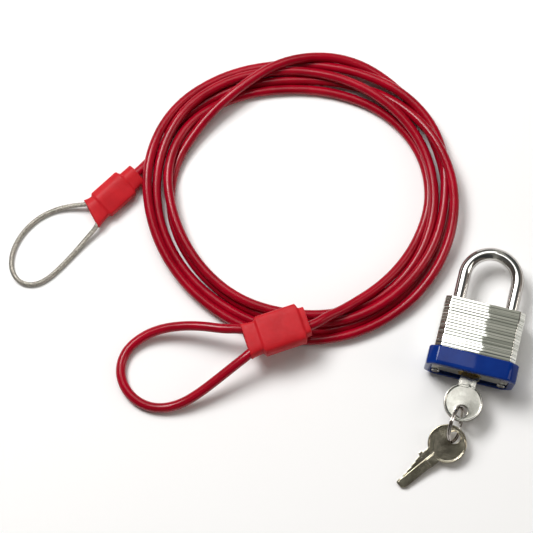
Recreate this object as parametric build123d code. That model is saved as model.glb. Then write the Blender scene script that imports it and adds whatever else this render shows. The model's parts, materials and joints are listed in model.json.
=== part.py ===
from build123d import *
import os
from math import asin, degrees, pi, radians, tan

# A laminated padlock with its keys, and a coiled security cable with an eye at each end.
# Millimetres. The padlock lies on its back: +X runs across it, +Y out of the body along the
# shackle, +Z up out of its front face. The origin is the centre of the bumper's back face.

# ---- padlock body ----
BODY_WIDTH = 40.0
BODY_DEPTH = 20.0
BODY_CHAMFER = 3.0
LOCK_Z = 12.0                 # height of the padlock's mid-plane
PLATE_PITCH = 1.5
PLATE_COUNT = 23
PLATE_EDGE = 0.2              # rounding of each plate's rim
PLATE_STEP = 0.12             # some plates are punched this much smaller all round
STACK_BOTTOM = -3.75
STACK_TOP = STACK_BOTTOM + PLATE_COUNT * PLATE_PITCH
RIVET_X = 16.5
RIVET_Z = 6.3
RIVET_RADIUS = 1.5
RIVET_HOLE_RADIUS = 1.52
RIVET_HEAD_RADIUS = 2.2
RIVET_HEAD = 0.8

# ---- bumper ----
BUMPER_WIDTH = 44.5
BUMPER_DEPTH = 24.0
BUMPER_HEIGHT = 9.5
BUMPER_CHAMFER = 4.2
BUMPER_LIP = 1.0              # the lip under the bottom plate, and how far it reaches in
BUMPER_LIP_CHAMFER = 1.5

# ---- shackle ----
SHACKLE_RADIUS = 3.1
LEG_X = 13.2
BOW_Y = 45.5                  # where the straight legs meet the bow
HEEL_END = 11.0
TOE_END = 18.0
LEG_HOLE_RADIUS = 3.3
NOTCH_Y = 20.6
NOTCH_HALF = 1.05
NOTCH_DEPTH = 1.7
WELL_BOTTOM = 5.25            # floor of the heel leg's well
TOE_WELL_BOTTOM = 17.25

# ---- cylinder ----
PLUG_RADIUS = 6.35
BORE_RADIUS = 6.40
PLUG_FACE_RADIUS = 5.6
PLUG_FACE_Y = -3.9
PLUG_SHOULDER_Y = -2.2
PLUG_END_Y = 14.2
HOUSING_RADIUS = 7.7
HOUSING_BIBLE_X = 12.6
HOUSING_BIBLE_HALF = 2.6
HOUSING_END_Y = 14.25
HOUSING_GAP = 0.05
SLOT_HALF_WIDTH = 3.95
SLOT_HALF_THICKNESS = 1.1
SLOT_END_Y = 13.4
TAIL_HALF_LENGTH = 5.8
TAIL_HALF_THICKNESS = 1.5
TAIL_END_Y = 19.3
TAIL_CLEARANCE_RADIUS = 6.1
PIN_FIRST_Y = 0.5
PIN_PITCH = 3.5
PIN_COUNT = 4
PIN_RADIUS = 1.42
CHAMBER_RADIUS = 1.5
PIN_TIP_X = 3.98
PIN_TOP_X = 6.12
DRIVER_FROM_X = 6.5
DRIVER_TO_X = 8.9
PIN_SPRING_RADIUS = 1.0
PIN_SPRING_WIRE = 0.36

# ---- latch wires ----
LATCH_WIRE_RADIUS = 0.8
LATCH_REACH_X = 10.9          # the wire's end, inside the notch
LATCH_LEG_X = 4.6
LATCH_LEG_END_Y = 15.2
LATCH_SPREAD_Z = 0.9

# ---- shackle spring ----
SHACKLE_SPRING_RADIUS = 2.2
SHACKLE_SPRING_WIRE = 0.8
SHACKLE_SPRING_TURNS = 5

# ---- keys ----
HEAD_RADIUS = 9.5
HEAD_THICKNESS = 2.0
HEAD_RECESS = 0.25
HEAD_RIM = 1.2
KEY_HOLE_RADIUS = 3.3
KEY_HOLE_OFFSET = 4.8
NECK_HALF_WIDTH = 4.2
SHOULDER_Y = 14.0             # from the head's centre to the shoulder
SHOULDER_REACH = 5.2
SHOULDER_LENGTH = 2.0
BLADE_HALF_WIDTH = 3.8
BLADE_LENGTH = 17.0
CUT_DEPTHS = (1.0, 1.7, 2.3, 2.9)
CUT_FLAT = 0.5
PAD_RISE = 0.3
GROOVE = (1.0, 2.2, 0.45)     # from X, to X, depth
KEY_Y = PLUG_FACE_Y - 0.05 - SHOULDER_Y
SPARE_HEAD = (-2.8, -38.1, 5.17)
SPARE_TURN = 142.2            # turn about +Z, from a blade that points along +Y

# ---- split ring ----
RING_RADIUS = 8.6
RING_WIRE = 0.85
RING_CENTRE = (-1.1, -29.3, 12.0)
RING_NORMAL = (0.939, -0.138, 0.315)

# ---- cable ----
CABLE_DIAMETER = 4.8
ROPE_DIAMETER = 2.4
COIL_CENTRE = (-101.3, 67.7)
COIL_TURN = 14.0              # turn of the coil's long axis from +X, degrees
COIL_OUTER = (79.6, 77.6)
COIL_INNER = (60.5, 58.0)
COIL_HEIGHT = 9.6

# ---- large sleeve and eye: the sleeve's own frame has +X along it, towards the coil ----
LARGE_SLEEVE_AT = (-95.6, -5.8, 15.2)
LARGE_SLEEVE_TURN = 32.8
LARGE_SLEEVE = {
    "neck": (-16.0, 9.6, 8.4),          # mouth X, half width there, half width at the waist
    "block": (-9.2, 12.0, 10.3),        # from X, to X, half width
    "collar": (16.0, 7.0),              # to X, half width
    "depth": 10.4,
    "throat": (17.6, CABLE_DIAMETER + 0.8),
}
LARGE_FERRULE = (-5.5, 9.5, 13.4, 7.4)  # from X, to X, width, depth
LARGE_STRAND_Y = 2.7                    # the eye's two strands, either side of the middle
LARGE_LEAD_Y = -2.7
LARGE_LEAD_MOUTH_X = 18.0
LARGE_EYE = [
    (-113.7, -9.0, 15.2),
    (-121.6, -11.0, 14.5),
    (-132.0, -11.6, 12.4),
    (-143.0, -13.4, 9.4),
    (-153.2, -17.0, 6.2),
    (-161.0, -22.6, 3.8),
    (-166.4, -30.0, 2.5),
    (-167.6, -38.6, 2.4),
    (-164.6, -46.6, 2.4),
    (-158.2, -52.6, 2.4),
    (-149.6, -55.4, 2.4),
    (-140.8, -54.2, 2.8),
    (-132.6, -49.8, 4.6),
    (-125.4, -43.0, 7.4),
    (-118.4, -34.8, 10.4),
    (-112.0, -27.0, 13.2),
    (-106.6, -20.6, 15.2),
]
LARGE_LEAD_DROP = [(-73.6, 8.2, 14.0), (-66.4, 14.2, 8.6)]

# ---- small sleeve and eye ----
SMALL_SLEEVE_AT = (-193.6, 45.3, 4.8)
SMALL_SLEEVE_TURN = 57.5
SMALL_SLEEVE = {
    "neck": (-15.0, 8.4, 7.2),
    "block": (-8.6, 8.6, 7.7),
    "collar": (14.0, 6.3),
    "depth": 9.4,
    "throat": (15.2, ROPE_DIAMETER + 1.6),
}
SMALL_FERRULE = (-4.5, 7.0, 9.0, 5.4)
SMALL_STRAND_Y = 1.6
SMALL_LEAD_END_X = 22.0
SMALL_EYE = [
    (-206.9, 36.4, 4.2),
    (-214.4, 34.2, 2.6),
    (-221.6, 30.4, 1.3),
    (-227.8, 24.6, 1.2),
    (-232.2, 17.6, 1.2),
    (-234.8, 10.0, 1.2),
    (-235.3, 2.6, 1.2),
    (-233.4, -4.4, 1.2),
    (-228.4, -9.4, 1.2),
    (-221.4, -9.8, 1.2),
    (-215.2, -5.6, 1.2),
    (-209.6, 3.0, 1.2),
    (-204.6, 12.6, 1.4),
    (-200.8, 20.4, 2.6),
    (-197.0, 27.4, 4.2),
]


def export(node, shape):
    """Write one node's STEP file."""
    export_step(shape, f"parts/{node}.step")


def group(shapes):
    """Several separate solids of one node."""
    return Compound(children=[part for shape in shapes for part in shape.solids()])


# ---------------------------------------------------------------- padlock helpers

def slab(sketch, y_low, y_high):
    """Extrude a sketch drawn in X and Z about the padlock's axis, from y_low to y_high."""
    plane = Plane(origin=(0, y_high, LOCK_Z), x_dir=(1, 0, 0), z_dir=(0, -1, 0))
    return extrude(plane * sketch, amount=y_high - y_low)


def rod_y(x, z, radius, y_low, y_high):
    """A round rod along Y at X and Z from the padlock's axis."""
    return slab(Pos(x, z) * Circle(radius), y_low, y_high)


def rod_x(y, radius, x_low, x_high):
    """A round rod along X on the padlock's mid-plane."""
    plane = Plane(origin=(x_low, y, LOCK_Z), x_dir=(0, 1, 0), z_dir=(1, 0, 0))
    return extrude(plane * Circle(radius), amount=x_high - x_low)


def outline(width, depth, corner):
    """A rectangle with its corners cut off."""
    sheet = Rectangle(width, depth)
    return chamfer(sheet.vertices(), corner)


def rivet_places():
    return [(x, z) for x in (-RIVET_X, RIVET_X) for z in (-RIVET_Z, RIVET_Z)]


def pin_places():
    return [PIN_FIRST_Y + i * PIN_PITCH for i in range(PIN_COUNT)]


def body_plate(index):
    """One plate of the stack, counted from the bottom, with the openings of its level."""
    low = STACK_BOTTOM + index * PLATE_PITCH
    high = low + PLATE_PITCH
    inset = PLATE_STEP if index % 4 == 2 else 0.0
    sheet = outline(BODY_WIDTH - 2 * inset, BODY_DEPTH - 2 * inset, BODY_CHAMFER)
    plate = slab(sheet, low, high)
    plate = chamfer(plate.edges().filter_by(Axis.Y, reverse=True), PLATE_EDGE)
    for x, z in rivet_places():
        plate -= rod_y(x, z, RIVET_HOLE_RADIUS, low, high)
    if low >= WELL_BOTTOM:
        plate -= rod_y(-LEG_X, 0, LEG_HOLE_RADIUS, low, high)
    if low >= TOE_WELL_BOTTOM:
        plate -= rod_y(LEG_X, 0, LEG_HOLE_RADIUS, low, high)
    if index == 0:
        plate -= rod_y(0, 0, PLUG_FACE_RADIUS + 0.1, low, high)
    elif high <= HOUSING_END_Y:
        plate -= slab(housing_outline(HOUSING_GAP), low, high)
    elif low < NOTCH_Y + LATCH_WIRE_RADIUS:
        plate -= rod_y(0, 0, TAIL_CLEARANCE_RADIUS, low, high)
        if high > NOTCH_Y - LATCH_WIRE_RADIUS:
            plate -= slab(Rectangle(2 * LEG_X, 4.0), low, high)
    return plate


def rivets():
    parts = []
    for x, z in rivet_places():
        head = rod_y(x, z, RIVET_HEAD_RADIUS, STACK_BOTTOM - RIVET_HEAD, STACK_BOTTOM)
        low_rim = head.edges().filter_by(GeomType.CIRCLE).sort_by(Axis.Y)[0]
        head = chamfer(low_rim, RIVET_HEAD / 2)
        parts.append(head + rod_y(x, z, RIVET_RADIUS, STACK_BOTTOM, STACK_TOP))
    return group(parts)


def bumper():
    """A moulded band round the lower plates, with a lip that reaches in under the stack."""
    low = -BUMPER_HEIGHT / 2
    high = BUMPER_HEIGHT / 2
    band = slab(outline(BUMPER_WIDTH, BUMPER_DEPTH, BUMPER_CHAMFER), low, high)
    band = fillet(band.edges().filter_by(Axis.Y), 1.2)
    band = chamfer(band.edges().filter_by(Axis.Y, reverse=True), 0.7)
    band -= slab(outline(BODY_WIDTH, BODY_DEPTH, BODY_CHAMFER), STACK_BOTTOM, high)
    lip = outline(BODY_WIDTH - 2 * BUMPER_LIP, BODY_DEPTH - 2 * BUMPER_LIP, BUMPER_LIP_CHAMFER)
    return band - slab(lip, low, STACK_BOTTOM)


# ---------------------------------------------------------------- shackle and latch

def shackle():
    heel = (-LEG_X, HEEL_END, LOCK_Z)
    toe = (LEG_X, TOE_END, LOCK_Z)
    bow_heel = (-LEG_X, BOW_Y, LOCK_Z)
    bow_toe = (LEG_X, BOW_Y, LOCK_Z)
    bow_top = (0, BOW_Y + LEG_X, LOCK_Z)
    path = Line(heel, bow_heel) + ThreePointArc(bow_heel, bow_top, bow_toe) + Line(bow_toe, toe)
    section = Plane(origin=heel, z_dir=(0, 1, 0)) * Circle(SHACKLE_RADIUS)
    bar = sweep(section, path=path)
    ends = [e for e in bar.edges().filter_by(GeomType.CIRCLE) if abs(e.center().Y - HEEL_END) < 0.1]
    ends += [e for e in bar.edges().filter_by(GeomType.CIRCLE) if abs(e.center().Y - TOE_END) < 0.1]
    bar = chamfer(ends, 0.7)
    for side in (-1, 1):
        inner = side * (LEG_X - SHACKLE_RADIUS + NOTCH_DEPTH / 2 - 1.0)
        cutter = Box(NOTCH_DEPTH + 2.0, 2 * NOTCH_HALF, 3 * SHACKLE_RADIUS)
        bar -= Pos(inner, NOTCH_Y, LOCK_Z) * cutter
    return bar


def bent_wire(points, bend_radius, wire_radius):
    """Round wire along straight runs, with the same bend at each corner."""
    path = FilletPolyline(*points, radius=bend_radius)
    section = Plane(origin=path @ 0, z_dir=path % 0) * Circle(wire_radius)
    return sweep(section, path=path)


def latch_wires():
    """Two wires that cross the axis: each ends in one leg's notch and lies across the tail."""
    wires = []
    for side in (-1, 1):
        z = LOCK_Z + side * LATCH_SPREAD_Z
        corner = (-side * LATCH_LEG_X, NOTCH_Y, z)
        tip = (side * LATCH_REACH_X, NOTCH_Y, z)
        foot = (-side * LATCH_LEG_X, LATCH_LEG_END_Y, z)
        wires.append(bent_wire([tip, corner, foot], 1.6, LATCH_WIRE_RADIUS))
    return group(wires)


def coil_spring(radius, wire, height, turns):
    """A round-wire compression spring that stands on Z = 0."""
    rise = height - wire
    path = Helix(pitch=rise / turns, height=rise, radius=radius)
    section = Plane(origin=path @ 0, z_dir=path % 0) * Circle(wire / 2)
    return Pos(0, 0, wire / 2) * sweep(section, path=path, is_frenet=True)


def shackle_spring():
    height = HEEL_END - WELL_BOTTOM - 0.2
    spring = coil_spring(SHACKLE_SPRING_RADIUS, SHACKLE_SPRING_WIRE, height, SHACKLE_SPRING_TURNS)
    return Pos(-LEG_X, WELL_BOTTOM + 0.1, LOCK_Z) * Rot(-90, 0, 0) * spring


# ---------------------------------------------------------------- cylinder

def housing_outline(gap):
    reach = HOUSING_BIBLE_X + gap
    bible = Pos(reach / 2, 0) * Rectangle(reach, 2 * (HOUSING_BIBLE_HALF + gap))
    return Circle(HOUSING_RADIUS + gap) + bible


def cylinder_housing():
    low = STACK_BOTTOM + PLATE_PITCH
    body = slab(housing_outline(0), low, HOUSING_END_Y)
    body -= rod_y(0, 0, BORE_RADIUS, low, HOUSING_END_Y)
    for y in pin_places():
        body -= rod_x(y, CHAMBER_RADIUS, 4.0, HOUSING_BIBLE_X)
    return body


def cylinder_plug():
    """The turning core: face, keyway with one ward, pin chambers, and the tail behind."""
    plug = rod_y(0, 0, PLUG_RADIUS, PLUG_SHOULDER_Y, PLUG_END_Y)
    plug += rod_y(0, 0, PLUG_FACE_RADIUS, PLUG_FACE_Y, PLUG_SHOULDER_Y)
    tail = Rectangle(2 * TAIL_HALF_THICKNESS, 2 * TAIL_HALF_LENGTH)
    plug += slab(tail, PLUG_END_Y, TAIL_END_Y)
    keyway = Rectangle(2 * SLOT_HALF_WIDTH, 2 * SLOT_HALF_THICKNESS)
    ward_x = (GROOVE[0] + GROOVE[1]) / 2
    ward_depth = GROOVE[2] - 0.1
    ward = Rectangle(GROOVE[1] - GROOVE[0] - 0.4, ward_depth)
    keyway -= Pos(ward_x, SLOT_HALF_THICKNESS - ward_depth / 2) * ward
    plug -= slab(keyway, PLUG_FACE_Y, SLOT_END_Y)
    for y in pin_places():
        plug -= rod_x(y, CHAMBER_RADIUS, SLOT_HALF_WIDTH - 0.2, PLUG_RADIUS)
    return plug


def key_pins():
    pins = []
    for y in pin_places():
        pin = rod_x(y, PIN_RADIUS, PIN_TIP_X, PIN_TOP_X)
        pins.append(chamfer(pin.edges().filter_by(GeomType.CIRCLE).sort_by(Axis.X)[0], 0.6))
    return group(pins)


def driver_pins():
    return group([rod_x(y, PIN_RADIUS, DRIVER_FROM_X, DRIVER_TO_X) for y in pin_places()])


def pin_springs():
    height = HOUSING_BIBLE_X - DRIVER_TO_X - 0.2
    springs = []
    for y in pin_places():
        spring = coil_spring(PIN_SPRING_RADIUS, PIN_SPRING_WIRE, height, 5)
        springs.append(Pos(DRIVER_TO_X + 0.1, y, LOCK_Z) * Rot(0, 90, 0) * spring)
    return group(springs)


# ---------------------------------------------------------------- keys and ring

def key():
    """A flat key: head centred on the origin, blade along +Y, bitting on the +X edge."""
    full = HEAD_THICKNESS / 2
    head = Pos(0, 0, -full) * extrude(Circle(HEAD_RADIUS), amount=HEAD_THICKNESS)
    head = fillet(head.edges().filter_by(GeomType.CIRCLE), 0.4)
    dish = extrude(Circle(HEAD_RADIUS - HEAD_RIM), amount=HEAD_RECESS)
    head -= Pos(0, 0, full - HEAD_RECESS) * dish
    head -= Pos(0, 0, -full) * dish
    boss = Pos(0, -KEY_HOLE_OFFSET) * Circle(KEY_HOLE_RADIUS + 0.9)
    boss = boss & Circle(HEAD_RADIUS - HEAD_RIM)
    head += Pos(0, 0, -full) * extrude(boss, amount=HEAD_THICKNESS)
    head -= Pos(0, -KEY_HOLE_OFFSET, 0) * Cylinder(KEY_HOLE_RADIUS, 2 * HEAD_THICKNESS)
    neck_start = HEAD_RADIUS - 2.2
    neck_length = SHOULDER_Y - neck_start
    neck = Pos(0, neck_start + neck_length / 2, 0) * Box(2 * NECK_HALF_WIDTH, neck_length, HEAD_THICKNESS)
    neck_pad = Box(5.6, neck_length - 2.4, PAD_RISE)
    neck += Pos(-0.8, neck_start + neck_length / 2, full + PAD_RISE / 2) * neck_pad
    shoulder_width = SHOULDER_REACH - BLADE_HALF_WIDTH
    shoulder_x = BLADE_HALF_WIDTH + shoulder_width / 2
    shoulder = Box(shoulder_width, SHOULDER_LENGTH, HEAD_THICKNESS)
    neck += Pos(shoulder_x, SHOULDER_Y - SHOULDER_LENGTH / 2, 0) * shoulder
    return head + neck + blade()


def blade():
    """The bitted blade. Each cut is a notch with a flat bottom, deeper towards the tip."""
    tip_y = SHOULDER_Y + BLADE_LENGTH
    half = BLADE_HALF_WIDTH
    flat = Polyline(
        (-half, SHOULDER_Y),
        (half, SHOULDER_Y),
        (half, tip_y - 3.4),
        (half - 3.0, tip_y),
        (-half + 1.4, tip_y),
        (-half, tip_y - 1.4),
        close=True,
    )
    body = Pos(0, 0, -HEAD_THICKNESS / 2) * extrude(make_face(flat), amount=HEAD_THICKNESS)
    for y, depth in zip(pin_places(), CUT_DEPTHS):
        centre = y - KEY_Y
        bottom = half - depth
        wide = CUT_FLAT + depth + 0.3
        notch = Polyline(
            (half + 0.3, centre - wide),
            (bottom, centre - CUT_FLAT),
            (bottom, centre + CUT_FLAT),
            (half + 0.3, centre + wide),
            close=True,
        )
        body -= Pos(0, 0, -HEAD_THICKNESS) * extrude(make_face(notch), amount=2 * HEAD_THICKNESS)
    groove_width = GROOVE[1] - GROOVE[0]
    groove = Box(groove_width, BLADE_LENGTH + 0.1, GROOVE[2])
    groove_x = GROOVE[0] + groove_width / 2
    return body - Pos(groove_x, tip_y - BLADE_LENGTH / 2, HEAD_THICKNESS / 2 - GROOVE[2] / 2) * groove


def spare_place():
    """The spare lies with its tip on the floor and its head held up by the ring."""
    reach = SHOULDER_Y + BLADE_LENGTH
    tilt = degrees(asin((SPARE_HEAD[2] - HEAD_THICKNESS / 2 - 0.05) / reach))
    return Pos(*SPARE_HEAD) * Rot(0, 0, SPARE_TURN) * Rot(-tilt, 0, 0)


def split_ring():
    """Two turns of flattened wire side by side, with a step where one passes to the other."""
    path = Helix(pitch=1.04 * RING_WIRE, height=1.9 * RING_WIRE, radius=RING_RADIUS)
    section = Plane(origin=path @ 0, z_dir=path % 0) * Circle(RING_WIRE / 2)
    ring = sweep(section, path=path, is_frenet=True)
    place = Plane(origin=RING_CENTRE, x_dir=(0, 0, 1), z_dir=RING_NORMAL)
    return place.location * Pos(0, 0, -0.95 * RING_WIRE) * ring


# ---------------------------------------------------------------- cable

def corner_radii(points):
    """The largest tangent arc that each corner's two runs allow."""
    radii = []
    for before, corner, after in zip(points, points[1:], points[2:]):
        run_in = Vector(*corner) - Vector(*before)
        run_out = Vector(*after) - Vector(*corner)
        half_turn = radians(run_in.get_angle(run_out)) / 2
        radii.append(0.45 * min(run_in.length, run_out.length) / tan(half_turn))
    return radii


def cord(name, points, diameter):
    """A plain tube along straight runs joined by tangent arcs."""
    radii = corner_radii(points)
    path = FilletPolyline(*points, radius=radii)
    section = Plane(origin=path @ 0, z_dir=path % 0) * Circle(diameter / 2)
    tube = sweep(section, path=path)
    expected = pi * diameter**2 / 4 * path.length
    print(f"{name}: length {path.length:.1f}, volume over section times length {tube.volume / expected:.4f}")
    print("  radii " + " ".join(f"{radius:.1f}" for radius in radii))
    return tube


def cable_coil():
    """The outer shape of the coiled turns: a low ring that is slightly oval."""
    ring = Ellipse(*COIL_OUTER) - Ellipse(*COIL_INNER)
    body = extrude(ring, amount=COIL_HEIGHT)
    return Pos(*COIL_CENTRE, 0) * Rot(0, 0, COIL_TURN) * body


def sleeve_frame(place, turn):
    return Pos(*place) * Rot(0, 0, turn)


def prism(points, depth):
    """An outline in the sleeve's own X and Y, extruded evenly about its mid-plane."""
    face = make_face(Polyline(*points, close=True))
    return Pos(0, 0, -depth / 2) * extrude(face, amount=depth)


def stadium_rod(x_low, x_high, width, depth):
    """A rod along X whose section is a flat-sided oval."""
    plane = Plane(origin=(x_low, 0, 0), x_dir=(0, 1, 0), z_dir=(1, 0, 0))
    section = SlotOverall(width, depth)
    return extrude(plane * section, amount=x_high - x_low)


def sleeve(neck, block, collar, depth, throat, lead_y, ferrule_size):
    """A moulded sleeve: flared mouth for the eye, block over the ferrule, collar for the lead."""
    mouth_x, mouth_half, waist_half = neck
    block_low, block_high, block_half = block
    collar_x, collar_half = collar
    points = [
        (mouth_x, -mouth_half),
        (mouth_x + 2.5, -mouth_half),
        (block_low - 1.5, -waist_half),
        (block_low, -block_half),
        (block_high, -block_half),
        (block_high, -collar_half),
        (collar_x, -collar_half),
        (collar_x, collar_half),
        (block_high, collar_half),
        (block_high, block_half),
        (block_low, block_half),
        (block_low - 1.5, waist_half),
        (mouth_x + 2.5, mouth_half),
        (mouth_x, mouth_half),
    ]
    body = prism(points, depth)
    rims = body.edges().group_by(Axis.Z)
    body = chamfer(rims[0] + rims[-1], 0.8)
    ferrule_low, ferrule_high, ferrule_width, ferrule_depth = ferrule_size
    body -= stadium_rod(ferrule_low, ferrule_high, ferrule_width, ferrule_depth)
    body -= stadium_rod(mouth_x, ferrule_low, *throat)
    lead = Plane(origin=(ferrule_high, lead_y, 0), x_dir=(0, 1, 0), z_dir=(1, 0, 0))
    return body - extrude(lead * Circle(CABLE_DIAMETER / 2), amount=collar_x - ferrule_high)


def ferrule(size, bore, bore_y):
    """A pressed oval tube with the two cable strands side by side in it."""
    low, high, width, depth = size
    body = stadium_rod(low, high, width, depth)
    for y in (-bore_y, bore_y):
        plane = Plane(origin=(low, y, 0), x_dir=(0, 1, 0), z_dir=(1, 0, 0))
        body -= extrude(plane * Circle(bore / 2), amount=high - low)
    return body


def eye_route(points, frame, size, bore_y):
    """The eye's route, with both ends carried through the ferrule's bores."""
    throat_x = size[0] - 4.0
    stations = [(size[1], bore_y), (throat_x, bore_y), (throat_x, -bore_y), (size[1], -bore_y)]
    inside = [tuple((frame * Pos(x, y, 0)).position) for x, y in stations]
    return inside[:2] + points + inside[2:]


# ---------------------------------------------------------------- the assembly

os.makedirs("parts", exist_ok=True)

for number in range(PLATE_COUNT):
    export(f"body_plate_{number + 1:02d}", body_plate(number))
export("rivets", rivets())
export("bumper", bumper())
export("shackle", shackle())
export("latch_wires", latch_wires())
export("shackle_spring", shackle_spring())
export("cylinder_housing", cylinder_housing())
export("cylinder_plug", cylinder_plug())
export("key_pins", key_pins())
export("driver_pins", driver_pins())
export("pin_springs", pin_springs())
export("key_in_lock", Pos(0, KEY_Y, LOCK_Z) * key())
export("spare_key", spare_place() * key())
export("split_ring", split_ring())

export("cable_coil", cable_coil())

large = sleeve_frame(LARGE_SLEEVE_AT, LARGE_SLEEVE_TURN)
large_sleeve = sleeve(**LARGE_SLEEVE, lead_y=LARGE_LEAD_Y, ferrule_size=LARGE_FERRULE)
export("large_sleeve", large * large_sleeve)
export("large_ferrule", large * ferrule(LARGE_FERRULE, CABLE_DIAMETER, LARGE_STRAND_Y))
large_route = eye_route(LARGE_EYE, large, LARGE_FERRULE, LARGE_STRAND_Y)
export("large_eye", cord("large_eye", large_route, CABLE_DIAMETER))
lead_start = tuple((large * Pos(LARGE_FERRULE[1], LARGE_LEAD_Y, 0)).position)
lead_mouth = tuple((large * Pos(LARGE_LEAD_MOUTH_X, LARGE_LEAD_Y, 0)).position)
large_lead = cord("large_lead", [lead_start, lead_mouth] + LARGE_LEAD_DROP, CABLE_DIAMETER)
export("large_lead", large_lead)

small = sleeve_frame(SMALL_SLEEVE_AT, SMALL_SLEEVE_TURN)
small_sleeve = sleeve(**SMALL_SLEEVE, lead_y=0.0, ferrule_size=SMALL_FERRULE)
export("small_sleeve", small * small_sleeve)
export("small_ferrule", small * ferrule(SMALL_FERRULE, ROPE_DIAMETER, SMALL_STRAND_Y))
small_route = eye_route(SMALL_EYE, small, SMALL_FERRULE, SMALL_STRAND_Y)
export("small_eye", cord("small_eye", small_route, ROPE_DIAMETER))
small_lead_plane = Plane(origin=(SMALL_FERRULE[1], 0, 0), x_dir=(0, 1, 0), z_dir=(1, 0, 0))
small_lead_length = SMALL_LEAD_END_X - SMALL_FERRULE[1]
small_lead = extrude(small_lead_plane * Circle(CABLE_DIAMETER / 2), amount=small_lead_length)
export("small_lead", small * small_lead)
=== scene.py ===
import json
import math
import random

import bpy
import numpy as np
from mathutils import Matrix, Vector


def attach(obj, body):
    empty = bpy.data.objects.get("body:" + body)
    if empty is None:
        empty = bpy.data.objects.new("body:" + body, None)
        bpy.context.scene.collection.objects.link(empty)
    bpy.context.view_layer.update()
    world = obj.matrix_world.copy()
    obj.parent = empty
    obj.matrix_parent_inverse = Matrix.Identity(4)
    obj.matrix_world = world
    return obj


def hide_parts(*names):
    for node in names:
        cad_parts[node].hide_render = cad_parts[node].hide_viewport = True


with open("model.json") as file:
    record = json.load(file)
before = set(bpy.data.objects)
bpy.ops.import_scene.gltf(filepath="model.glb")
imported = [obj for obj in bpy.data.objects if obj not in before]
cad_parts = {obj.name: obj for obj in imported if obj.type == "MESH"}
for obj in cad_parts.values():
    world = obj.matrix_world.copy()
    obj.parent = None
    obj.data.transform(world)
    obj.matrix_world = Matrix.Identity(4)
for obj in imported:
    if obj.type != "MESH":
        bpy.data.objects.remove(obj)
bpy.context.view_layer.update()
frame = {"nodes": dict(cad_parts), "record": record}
record = frame["record"]
MM = 0.001

# The sizes that part.py drives, in millimetres.
CABLE = 4.8
LOCK_Z = 12.0
PLATE_PITCH = 1.5
PLATE_COUNT = 23
STACK_BOTTOM = -3.75
LARGE_SLEEVE_AT = (-95.6, -5.8, 15.2)
LARGE_SLEEVE_TURN = 32.8
SMALL_SLEEVE_AT = (-193.6, 45.3, 4.8)
SMALL_SLEEVE_TURN = 57.5


# ------------------------------------------------------------------ the camera

VIEW_TURN = math.radians(14.0)
VIEW_RISE = math.radians(75.0)
VIEW_TARGET = Vector((-0.10995, 0.0285, 0.0))
VIEW_DISTANCE = 0.952
VIEW_LENS = 128.3


def make_camera():
    across = Vector((math.cos(VIEW_TURN), math.sin(VIEW_TURN), 0))
    inward = Vector((-math.sin(VIEW_TURN), math.cos(VIEW_TURN), 0))
    look = inward * math.cos(VIEW_RISE) - Vector((0, 0, 1)) * math.sin(VIEW_RISE)
    upward = across.cross(look)
    data = bpy.data.cameras.new("camera")
    data.lens = VIEW_LENS
    data.sensor_width = 36.0
    data.clip_start = 0.05
    data.clip_end = 20.0
    camera = bpy.data.objects.new("camera", data)
    turn = Matrix((across, upward, -look)).transposed().to_4x4()
    camera.matrix_world = Matrix.Translation(VIEW_TARGET - look * VIEW_DISTANCE) @ turn
    bpy.context.scene.collection.objects.link(camera)
    bpy.context.scene.camera = camera


make_camera()


# ------------------------------------------------------------------ materials

def socket(node, name):
    return next(s for s in node.inputs if s.name == name)


def fill_ramp(node, stops):
    elements = node.color_ramp.elements
    while len(elements) < len(stops):
        elements.new(0.5)
    for element, (at, colour) in zip(elements, stops):
        element.position = at
        element.color = (*colour, 1)


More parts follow.
